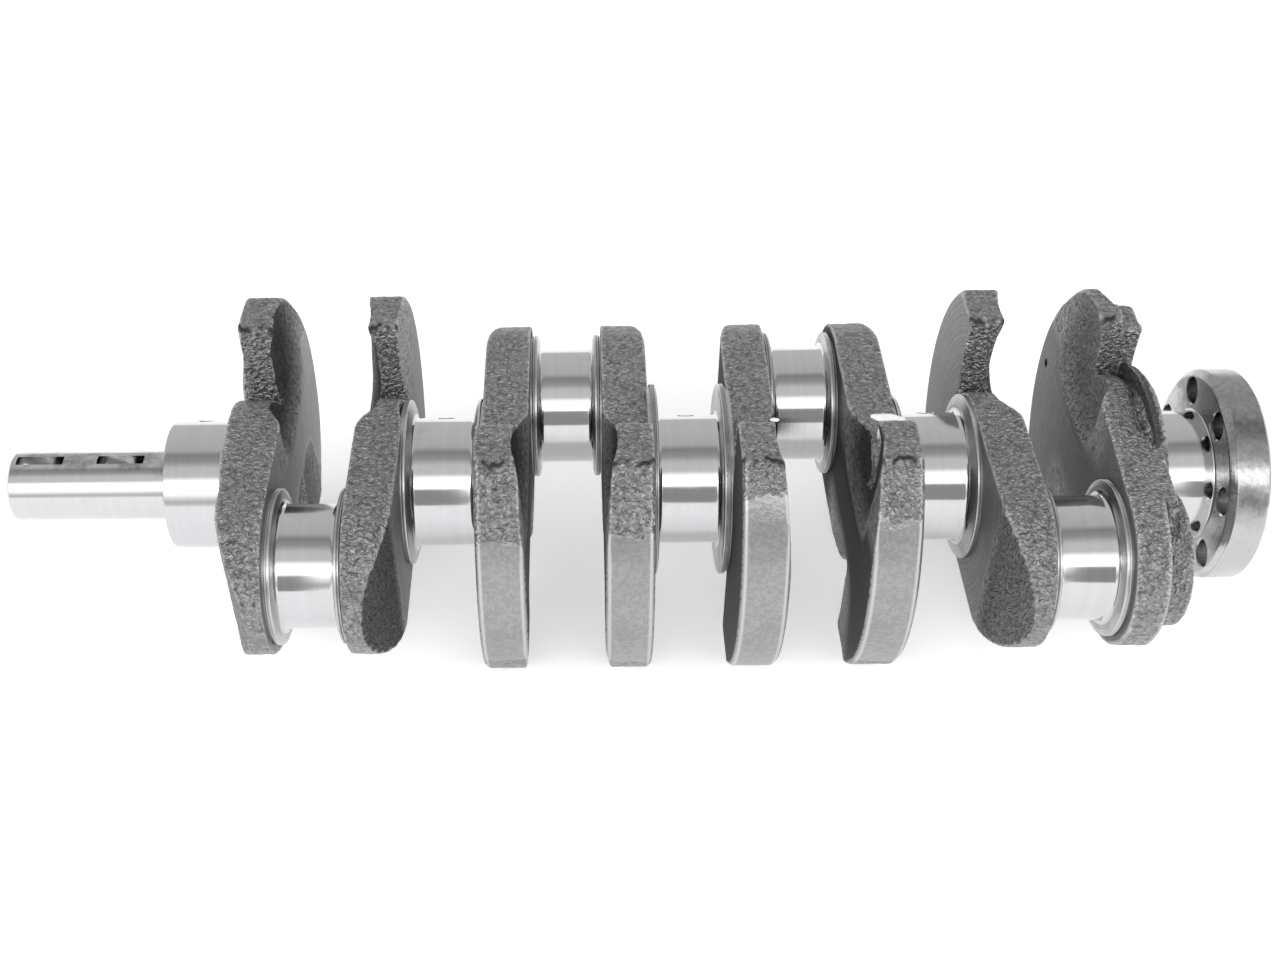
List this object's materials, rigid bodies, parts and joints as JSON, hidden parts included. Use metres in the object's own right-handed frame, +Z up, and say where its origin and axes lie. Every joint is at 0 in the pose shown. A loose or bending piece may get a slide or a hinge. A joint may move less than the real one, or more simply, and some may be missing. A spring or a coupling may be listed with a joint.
{
  "type": "crankshaft",
  "caption": "Forged in-line engine crankshaft: ground journals and offset pins between counterweighted webs, a keyed pulley nose and a bolted flywheel flange.",
  "frame": {"origin": "on the rotation axis, midway between the nose end and the flywheel face", "axes": "+X along the rotation axis from the pulley nose to the flywheel flange, +Z up with the crank pins level, pins 1 and 4 on the -Y side"},
  "size_m": [0.5228, 0.172, 0.1214],
  "materials": {
    "ground_steel": "ground and polished bearing steel, bright, with very fine marks round the axis",
    "turned_steel": "turned steel with fine tool rings, satin, a little dulled by handling",
    "forged_steel": "as-forged and shot-cleaned dark grey skin, pitted, with smoother machined rims and faces"
  },
  "bodies": {
    "root": {"pulley_nose": "ground_steel", "main_journal_1": "ground_steel", "main_journal_2": "ground_steel", "main_journal_3": "ground_steel", "main_journal_4": "ground_steel", "main_journal_5": "ground_steel", "crank_pin_1": "ground_steel", "crank_pin_2": "ground_steel", "crank_pin_3": "ground_steel", "crank_pin_4": "ground_steel", "web_1": "forged_steel", "counterweight_1": "forged_steel", "pin_shoulder_1": "turned_steel", "main_shoulder_1": "turned_steel", "web_2": "forged_steel", "counterweight_2": "forged_steel", "pin_shoulder_2": "turned_steel", "main_shoulder_2": "turned_steel", "web_3": "forged_steel", "counterweight_3": "forged_steel", "pin_shoulder_3": "turned_steel", "main_shoulder_3": "turned_steel", "web_4": "forged_steel", "counterweight_4": "forged_steel", "pin_shoulder_4": "turned_steel", "web_5": "forged_steel", "counterweight_5": "forged_steel", "pin_shoulder_5": "turned_steel", "web_6": "forged_steel", "counterweight_6": "forged_steel", "pin_shoulder_6": "turned_steel", "main_shoulder_6": "turned_steel", "web_7": "forged_steel", "counterweight_7": "forged_steel", "pin_shoulder_7": "turned_steel", "main_shoulder_7": "turned_steel", "web_8": "forged_steel", "counterweight_8": "forged_steel", "pin_shoulder_8": "turned_steel", "main_shoulder_8": "turned_steel", "thrust_collar_front": "turned_steel", "thrust_collar_rear": "turned_steel", "flywheel_flange": "turned_steel"}
  },
  "joints": []
}
